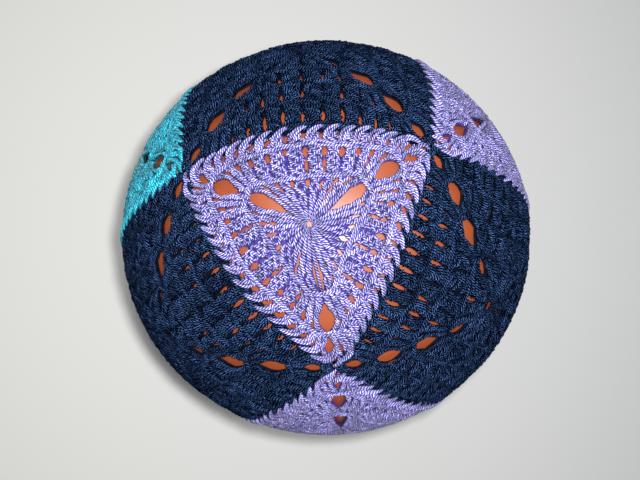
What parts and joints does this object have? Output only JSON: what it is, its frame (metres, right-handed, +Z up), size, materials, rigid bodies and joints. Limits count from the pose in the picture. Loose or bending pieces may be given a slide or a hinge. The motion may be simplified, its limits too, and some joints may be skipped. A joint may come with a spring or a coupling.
{
  "type": "crocheted ball",
  "caption": "Ball in a crocheted cover of three-sided and four-sided motifs, sewn edge to edge over a smooth core that shows through the lacy gaps.",
  "frame": {"origin": "centre of the small flat spot that the ball stands on, under the middle of the ball", "axes": "+Z up from the flat spot through the ball; +X along the ball's widest direction, to the right as seen in the picture, whose top edge is towards +Y"},
  "size_m": [0.2032, 0.1972, 0.1962],
  "materials": {
    "orange_core": "smooth, half gloss",
    "purple_yarn": "plied yarn with a soft sheen",
    "turquoise_yarn": "plied yarn with a soft sheen",
    "navy_yarn": "plied yarn with a soft sheen"
  },
  "bodies": {
    "root": {"core": "orange_core", "tri_top": "purple_yarn", "tri_bottom": "purple_yarn", "tri_upper_037": "purple_yarn", "tri_upper_155": "turquoise_yarn", "tri_upper_274": "purple_yarn", "tri_lower_094": "purple_yarn", "tri_lower_217": "purple_yarn", "tri_lower_335": "turquoise_yarn", "square_upper_098": "navy_yarn", "square_upper_213": "navy_yarn", "square_upper_337": "navy_yarn", "square_lower_033": "navy_yarn", "square_lower_157": "navy_yarn", "square_lower_278": "navy_yarn"}
  },
  "joints": []
}
